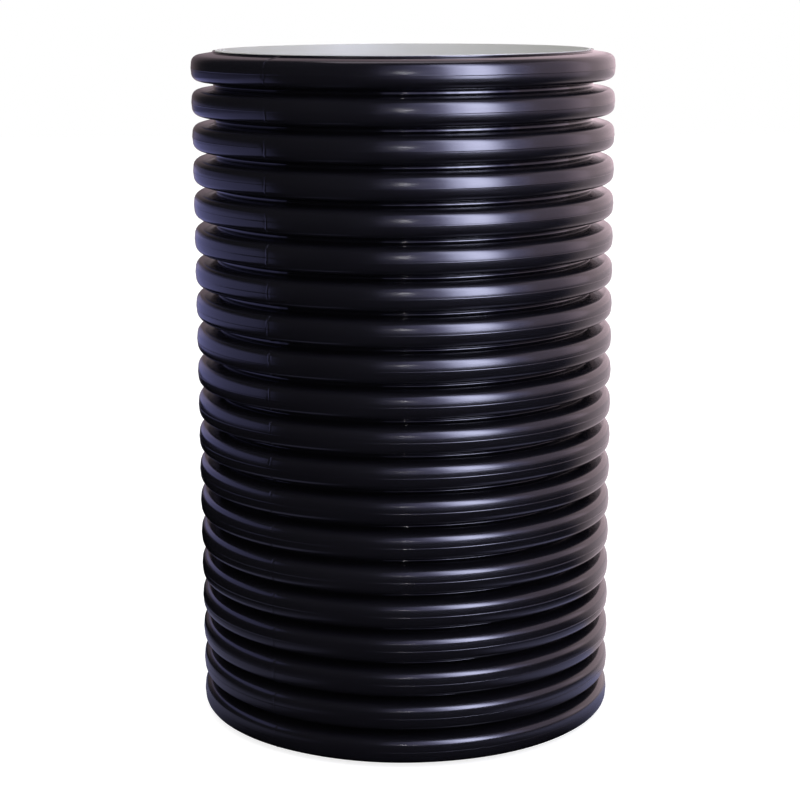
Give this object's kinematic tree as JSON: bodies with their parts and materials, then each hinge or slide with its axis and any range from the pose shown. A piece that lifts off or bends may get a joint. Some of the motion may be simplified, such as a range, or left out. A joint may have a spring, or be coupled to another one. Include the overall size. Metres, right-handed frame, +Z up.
{
  "type": "corrugated formwork pipe",
  "caption": "Short length of twin-wall corrugated plastic pipe, black ribbed outside and smooth light grey bore, used as a round form or duct.",
  "frame": {"origin": "centre of the pipe's bottom cut end, on its axis", "axes": "+Z up along the pipe's axis, towards its top cut end"},
  "size_m": [0.3148, 0.3148, 0.504],
  "materials": {
    "black_skin": "satin black polyethylene",
    "grey_lining": "smooth light grey polyethylene"
  },
  "bodies": {
    "root": {"corrugated_outer_wall": "black_skin", "smooth_inner_wall": "grey_lining"}
  },
  "joints": []
}
